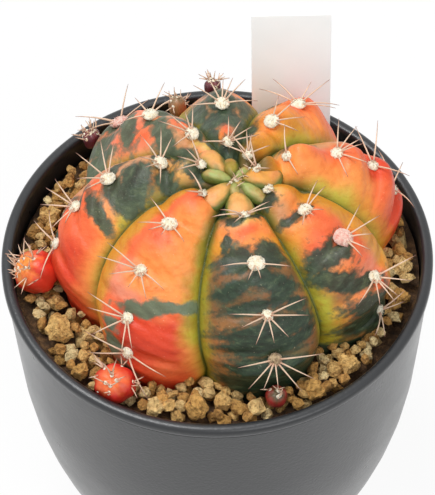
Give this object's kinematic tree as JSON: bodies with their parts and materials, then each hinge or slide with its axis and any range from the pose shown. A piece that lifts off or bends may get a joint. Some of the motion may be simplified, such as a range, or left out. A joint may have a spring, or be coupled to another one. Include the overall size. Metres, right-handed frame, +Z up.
{
  "type": "potted cactus",
  "caption": "Red, orange and green ribbed globe cactus with small offsets and woolly spine clusters, in a round dark plastic pot of gritty mix with a blank plant label.",
  "frame": {"origin": "centre of the pot's foot on the surface that it stands on", "axes": "+Z up; -Y is the front, and the label stands at the back, on the +Y side"},
  "size_m": [0.09, 0.09, 0.1076],
  "materials": {
    "pot_plastic": "fine matt charcoal, smoother on the rim",
    "mix": "rough dry grit",
    "grit": "rough angular tan grains with pale specks",
    "cactus_skin": "waxy skin, orange to red with dark green patches and yellow-green furrows",
    "offset_skin": "waxy red-orange skin",
    "bud_skin": "waxy dark red-purple skin",
    "spines_and_wool": "horny cream-pink spines on cream wool",
    "label_plastic": "plain white, blank"
  },
  "bodies": {
    "root": {"bud_back": "bud_skin", "bud_back_left": "bud_skin", "bud_behind_crest": "bud_skin", "bud_front": "bud_skin", "cactus_globe": "cactus_skin", "grain_01": "grit", "grain_02": "grit", "grain_03": "grit", "grain_04": "grit", "grain_05": "grit", "grain_06": "grit", "grain_07": "grit", "grain_08": "grit", "grain_09": "grit", "grain_10": "grit", "grain_11": "grit", "grain_12": "grit", "offset_front_left": "offset_skin", "offset_left": "offset_skin", "plant_label": "label_plastic", "pot": "pot_plastic", "potting_mix": "mix", "spines_a1": "spines_and_wool", "spines_a2": "spines_and_wool", "spines_a3": "spines_and_wool", "spines_a4": "spines_and_wool", "spines_b1": "spines_and_wool", "spines_b2": "spines_and_wool", "spines_b3": "spines_and_wool", "spines_b4": "spines_and_wool", "spines_b5": "spines_and_wool", "spines_c1": "spines_and_wool", "spines_c2": "spines_and_wool", "spines_c3": "spines_and_wool", "spines_c4": "spines_and_wool", "spines_c5": "spines_and_wool", "spines_d1": "spines_and_wool", "spines_d2": "spines_and_wool", "spines_d3": "spines_and_wool", "spines_e1": "spines_and_wool", "spines_e2": "spines_and_wool", "spines_f1": "spines_and_wool", "spines_f2": "spines_and_wool", "spines_f3": "spines_and_wool", "spines_g1": "spines_and_wool", "spines_g2": "spines_and_wool", "spines_g3": "spines_and_wool", "spines_g4": "spines_and_wool", "spines_g5": "spines_and_wool", "spines_h1": "spines_and_wool", "spines_h2": "spines_and_wool", "spines_h3": "spines_and_wool", "spines_h4": "spines_and_wool", "spines_h5": "spines_and_wool"}
  },
  "joints": []
}
